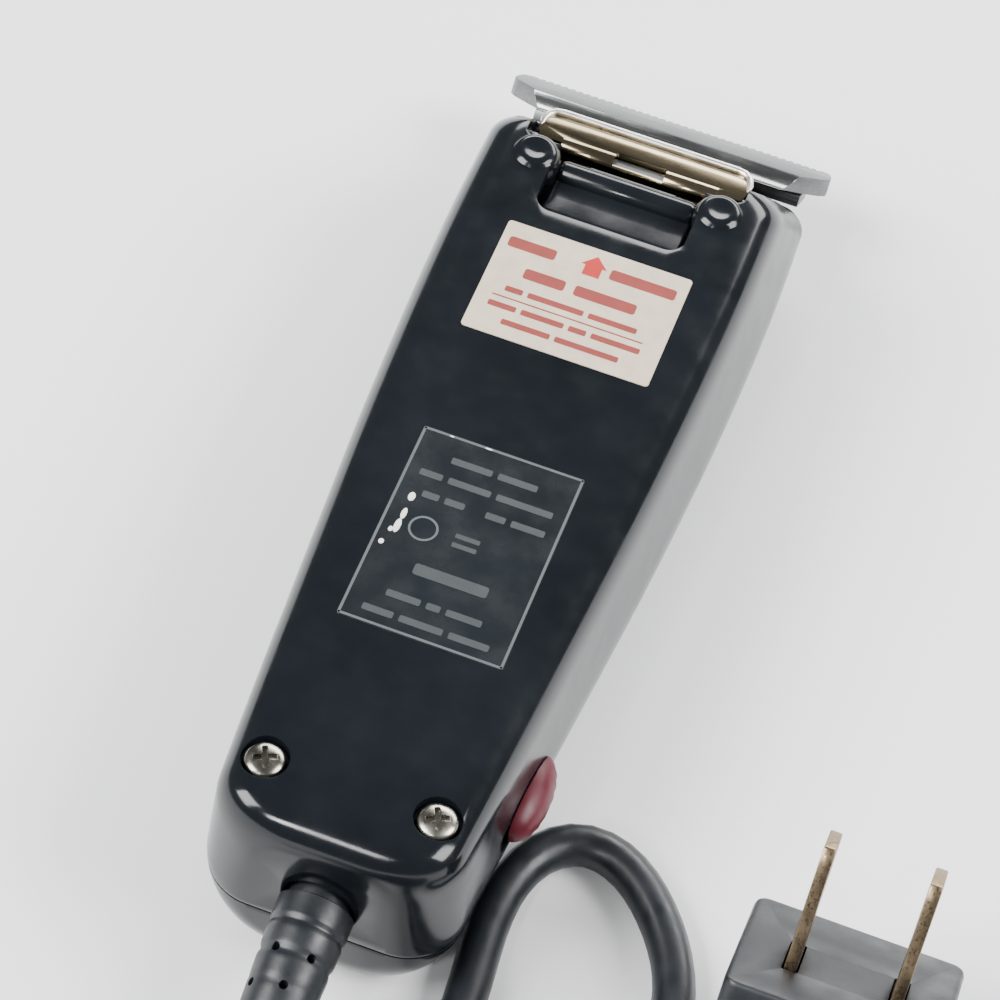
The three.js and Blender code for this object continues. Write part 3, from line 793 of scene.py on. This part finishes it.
def add_hinge_plate():
    """Sheet steel that hooks round the hinge pin, runs flat, and bends down to the comb's heel."""
    half_thick, half_wide = 0.45, 15
    spine = [
        (45.7, 25.5), (46.6, 25.5), (49.0, 25.5), (50.0, 25.35), (50.7, 24.9), (51.1, 24.2),
        (51.45, 22.4), (51.8, 21.5), (52.4, 20.8), (53.2, 20.15), (57.9, 16.45),
    ]
    upper, lower = [], []
    for i, p in enumerate(spine):
        a, b = Vector(spine[max(0, i - 1)]), Vector(spine[min(len(spine) - 1, i + 1)])
        side = Vector((-(b - a).y, (b - a).x)).normalized() * half_thick
        upper.append((p[0] + SHIFT + side.x, p[1] + side.y))
        lower.append((p[0] + SHIFT - side.x, p[1] - side.y))
    data = prism("sheet", upper + lower[::-1], -half_wide, half_wide, "x")
    # The plate's warm golden colour is a painted reflection of warm light on the plated sheet.
    made = new_object("sprung_plate", data, "blade_set", "brass", "blade_hinge_plate")
    outline = [(-13.2, 44), (13.2, 44), (14.6, 46.5), (15, 48), (14.6, 51), (13.6, 52.8), (12, 60)]
    outline += [(-x, y) for x, y in outline[::-1]][:-2]
    combine(made, "INTERSECT", prism("outline", [(x, y + SHIFT) for x, y in outline], 10, 30))
    knuckle = prism("knuckle", circle(HINGE_Y, HINGE_Z, 1.45, 32), -11, 11, "x")
    combine(made, "UNION", knuckle)
    combine(made, "DIFFERENCE", prism("bore", circle(HINGE_Y, HINGE_Z, PIN_BORE_R, 24), -20, 20, "x"))
    notch = prism("notch", rounded(0, 45.9 + SHIFT, 3.6, 1.2, 0.5, 4), 25.2, 30)
    combine(made, "DIFFERENCE", notch)
    soften(made, 0.1, 35)
    add_plate_rim()


def add_plate_rim():
    """The sheet's rolled far edge, which turns down at both ends."""
    height, sides = 25.75, 12
    left = [(-14.7, 47.6), (-14.65, 49), (-14.3, 50.1), (-13.5, 50.8), (-12.4, 51.0), (-8, 51.0)]
    path = [*left, (0, 51.0), *[(-x, y) for x, y in left[::-1]]]
    rings = []
    for i, here in enumerate(path):
        before, after = Vector(path[max(0, i - 1)]), Vector(path[min(len(path) - 1, i + 1)])
        ahead = (after - before).normalized()
        radius = 0.2 if i in (0, len(path) - 1) else 0.5
        ring = []
        for k in range(sides):
            u = 2 * math.pi * k / sides
            side = radius * math.cos(u)
            x, y = here[0] - ahead.y * side, here[1] + SHIFT + ahead.x * side
            ring.append((x, y, height + radius * math.sin(u)))
        rings.append(ring)
    # The rim's near-white colour is a painted highlight along the rolled edge.
    made = new_object("plate_rim", loft("plate_rim", rings), "blade_set", "rim")
    smooth(made.data, 60)


# ---------------------------------------------------------------- switch, boot and plug
def add_switch():
    """A ribbed thumb slide on the right wall, with its stem through the slot."""
    rings, sides = [], 28
    rib_pitch = 1.5
    for a in range(4, 180, 8):
        t = math.radians(a)
        y = -46.2 - 6.4 * math.cos(t)
        size = math.sin(t) ** 0.75
        ridge = 0.06 * math.cos(y * 2 * math.pi / rib_pitch) if 25 < a < 155 else 0
        reach = max(0.3, 3.5 * size + ridge)
        ring = []
        for k in range(sides):
            u = 2 * math.pi * k / sides
            ring.append((17.2 + reach * math.cos(u), y + SHIFT, SWITCH_Z + 3.2 * size * math.sin(u)))
        rings.append(ring)
    made = new_object("thumb_slide", loft("thumb_slide", rings), "switch", "red", "switch_button")
    combine(made, "DIFFERENCE", body_loft("wall", -0.12, HEAD_Y))
    stem = prism("stem", rounded(-46.8 + SHIFT, SWITCH_Z, 2.6, 1.3, 0.3, 3), 13, 18.6, "x")
    combine(made, "UNION", stem)
    smooth(made.data, 50)


def bent(start, bend, end, t):
    """A point on the quadratic curve that leaves start towards bend and arrives at end."""
    return start * (1 - t) ** 2 + bend * 2 * t * (1 - t) + end * t**2


def boot_centre(t):
    """The boot's line: straight out of the end wall, then bending down to the floor."""
    start, bend = Vector((0, END_Y + 5, 16.9)), Vector((0, -84, 15.2))
    return bent(start, bend, Vector((0, -106.6 + SHIFT, 4.9)), t)


def boot_radius(out):
    """The radius this far outside the end wall: inner collar, neck, outer collar, grooved taper."""
    if out < -2.4:
        return 5.3
    if out < 0.35:
        return 4.0
    if out <= 3.4:
        return 4.75
    groove = (0.25 if out < 8 else 0.07) * max(0, math.cos(out * 2 * math.pi / 3.6)) ** 3
    return 4.75 - 1.45 * (out - 3.4) / 31 - groove


def add_boot():
    """A tapered rubber boot with a collar, ring grooves and vent holes."""
    rings, sides, steps = [], 32, 110
    for i in range(steps + 1):
        t = i / steps
        centre = boot_centre(t)
        ahead = (boot_centre(min(1, t + 0.01)) - boot_centre(max(0, t - 0.01))).normalized()
        side = Vector((1, 0, 0))
        up = side.cross(ahead).normalized()
        radius = min(boot_radius(END_Y - centre.y), max(2.9, centre.z - 0.25))  # clear of the floor
        turns = (2 * math.pi * k / sides for k in range(sides))
        rings.append([
            tuple(centre + side * radius * math.cos(u) + up * radius * math.sin(u)) for u in turns
        ])
    made = new_object("cord_boot", loft("cord_boot", rings), "housing", "rubber", "strain_relief")
    holes = []
    for i, out in enumerate((8, 12, 16, 20)):
        for angle in (60, 120, 300, 240):
            a = math.radians(angle + 25 * (i % 2))
            pit = lathe("pit", [(0, 1), (0.55, 1), (0.55, -1), (0, -1)], 14)
            t = next(s / 200 for s in range(201) if END_Y - boot_centre(s / 200).y > out)
            direction = Vector((math.cos(a), 0, math.sin(a)))
            place = boot_centre(t) + direction * 4.0
            turn = direction.to_track_quat("Z", "Y").to_matrix().to_4x4()
            holes.append(turned(pit, Matrix.Translation(place * MM) @ turn))
    combine(made, "DIFFERENCE", joined("pits", holes))
    smooth(made.data, 45)
    return made


def add_plug():
    """A moulded two-blade plug: a flat face, a waist with grip ribs, and a boot down to the cord."""
    leaning = Matrix.Translation(mm(*PLUG)) @ Matrix.Rotation(PLUG_TILT - math.pi / 2, 4, "X")
    sections = [  # height, the two half-widths and the corner radius
        (1.4, 12.5, 10.5, 1.3), (1.25, 12.8, 10.8, 1.5), (0.8, 13, 11, 1.8), (-5, 13, 11, 1.8),
        (-7.4, 12.5, 10.4, 2.6), (-9, 11.8, 10, 3.2), (-13, 11.4, 9.6, 3.8), (-16, 11.8, 9.6, 4.2),
        (-18.4, 11.2, 9, 4.6), (-19.6, 9.6, 7.6, 5), (-20, 8, 6.2, 5),
    ]
    rings = [
        [(x, y + 0.8, z) for x, y in rounded(0, 0, half_x, half_y, radius, 8)]
        for z, half_x, half_y, radius in sections
    ]
    made = new_object("plug_shell", loft("plug_shell", rings), "housing", "rubber", "plug_body")
    ribs = []
    for side in (-1, 1):
        x = side * 11.9
        for i in range(4):
            ribs.append(prism("rib", rounded(0, -8.6 - 2.1 * i, 6.4, 0.5, 0.3, 3), x - 0.7, x + 0.7, "x"))
    combine(made, "UNION", joined("ribs", ribs))
    slots = [
        prism("slot", rounded(side * BLADE_PIN_X, 0, 1.0, 3.45, 0.3, 3), -6, 2) for side in (-1, 1)
    ]
    combine(made, "DIFFERENCE", joined("slots", slots))
    made.data.transform(leaning)
    soften(made, 0.25, 40)

    pieces = [made]
    outline = [(-3.17, -5), (3.17, -5), (3.17, 15.6), (2.3, 17.5), (-2.3, 17.5), (-3.17, 15.6)]
    for name, side in (("left", -1), ("right", 1)):
        x = side * BLADE_PIN_X
        data = prism("pin", outline, x - 0.75, x + 0.75, "x")
        pin = new_object("contact_blade_" + name, data, "housing", "pin", "plug_pin_" + name)
        combine(pin, "DIFFERENCE", prism("hole", circle(0, 13.2, 1.55, 32), x - 2, x + 2, "x"))
        soften(pin, 0.22, 35)
        pin.data.transform(leaning)
        pieces.append(pin)

    return [*pieces, add_plug_boot()]


def add_plug_boot():
    """The grooved boot that starts inside the plug and bends down onto the cord."""
    line = ((-70.4, 11.2), (-75.4, 3.3), (-90.9, 3.75))
    start, bend, end = (Vector((PLUG[0], y + SHIFT, z)) for y, z in line)
    rings, sides, steps = [], 28, 70
    for i in range(steps + 1):
        t = i / steps
        groove = 0.35 * max(0, math.cos(t * 2 * math.pi * 5)) ** 4 if 0.3 < t < 0.95 else 0
        radius = 3.55 - 0.7 * t - groove
        centre = bent(start, bend, end, t)
        centre.z = max(centre.z, radius + 0.3)
        ahead = ((bend - start) * (1 - t) + (end - bend) * t).normalized()
        side = Vector((1, 0, 0))
        up = side.cross(ahead)
        turns = (2 * math.pi * k / sides for k in range(sides))
        rings.append([
            tuple(centre + side * radius * math.cos(u) + up * radius * math.sin(u)) for u in turns
        ])
    made = new_object("plug_boot", loft("plug_boot", rings), "housing", "rubber", "plug_strain_relief")
    smooth(made.data, 45)
    return made


def add_tie():
    """A soft band round the coil's turns."""
    spread = (COIL_COLUMNS - 1) / 2 * COIL_PITCH + CORD_R + 0.25
    low, high = 0.15, COIL_BASE + COIL_PITCH + CORD_R + 0.2
    middle = (low + high) / 2
    outer = rounded(COIL_R, middle, spread + 0.45, (high - low) / 2 + 0.1, 3.0, 8)
    inner = rounded(COIL_R, middle + 0.05, spread, (high - low) / 2 - 0.45, 2.6, 8)
    made = new_object("twist_band", prism("band", outer, -3, 3, "y"), "housing", "nylon", "coil_tie")
    combine(made, "DIFFERENCE", prism("inside", inner, -4, 4, "y"))
    made.data.transform(Matrix.Translation(mm(COIL_X, COIL_Y, 0)))
    soften(made, 0.12, 40)
    return made


# ---------------------------------------------------------------- inner works
INNER = {
    "core_laminations": "iron", "coil_bobbin": "nylon", "copper_winding": "copper", "armature": "iron",
    "armature_pivot_pin": "steel", "return_spring_left": "steel", "return_spring_right": "steel",
    "power_screw": "nickel", "switch_body": "nylon", "switch_contact": "brass",
    "lead_wire_live": "rubber", "lead_wire_neutral": "rubber", "cord_clamp": "nylon",
    "lever_pin": "steel", "lever_spring": "steel",
    "blade_hinge_pin": "steel", "blade_screw_left": "nickel", "blade_screw_right": "nickel",
    "cutter_spring": "nickel", "core_screw_left": "steel", "core_screw_right": "steel",
}


def dress_inner_works():
    """Gives the CAD nodes that are shown as they are their materials."""
    for node, look in INNER.items():
        data = bpy.data.objects[node].data
        data.materials.clear()
        data.materials.append(looks[look])


# ---------------------------------------------------------------- floor and light
def add_floor():
    material, tree, shader = base_material("floor", (0.93, 0.935, 0.94), 0.6)
    vary(tree, shader, "Roughness", 8, 0.5, 0.6)
    corners = [(-1500, -1500, 0), (1500, -1500, 0), (1500, 1800, 0), (-1500, 1800, 0)]
    data = mesh_from("floor", corners, [[0, 1, 2, 3]])
    data.materials.append(material)
    floor = bpy.data.objects.new("floor", data)
    floor.location.z = -0.0002
    bpy.context.scene.collection.objects.link(floor)


def add_light(name, place, target, size, power):
    data = bpy.data.lights.new(name, "AREA")
    data.shape = "RECTANGLE"
    data.size, data.size_y = size
    data.energy = power
    light = bpy.data.objects.new(name, data)
    light.location = place
    light.rotation_euler = (Vector(target) - Vector(place)).to_track_quat("-Z", "Y").to_euler()
    bpy.context.scene.collection.objects.link(light)


def light_scene():
    world = bpy.data.worlds.new("studio")
    world.use_nodes = True
    background = world.node_tree.nodes["Background"]
    background.inputs["Color"].default_value = (0.92, 0.95, 1.0, 1)
    background.inputs["Strength"].default_value = 0.24
    bpy.context.scene.world = world
    add_light("soft_front_left", (-1.15, -0.75, 1.25), (0, 0, 0), (1.0, 1.1), 70)
    add_light("soft_right", (1.3, 0.1, 1.15), (0, 0, 0), (0.9, 0.9), 46)
    add_light("far_strip", (0.1, 1.15, 0.6), (0, 0, 0), (1.5, 0.42), 26)
    add_light("window", (-0.15, -0.70, 0.68), (0, 0, 0.03), (0.06, 0.14), 1.8)


add_back_housing()
add_front_cover()
add_instruction_label()
add_nameplate()
add_paint_specks()
add_housing_screws()
add_lever()
add_fixed_blade()
add_cutter()
add_hinge_plate()
add_switch()
boot = add_boot()
plug_pieces = add_plug()
tie = add_tie()
dress_inner_works()
add_floor()
light_scene()
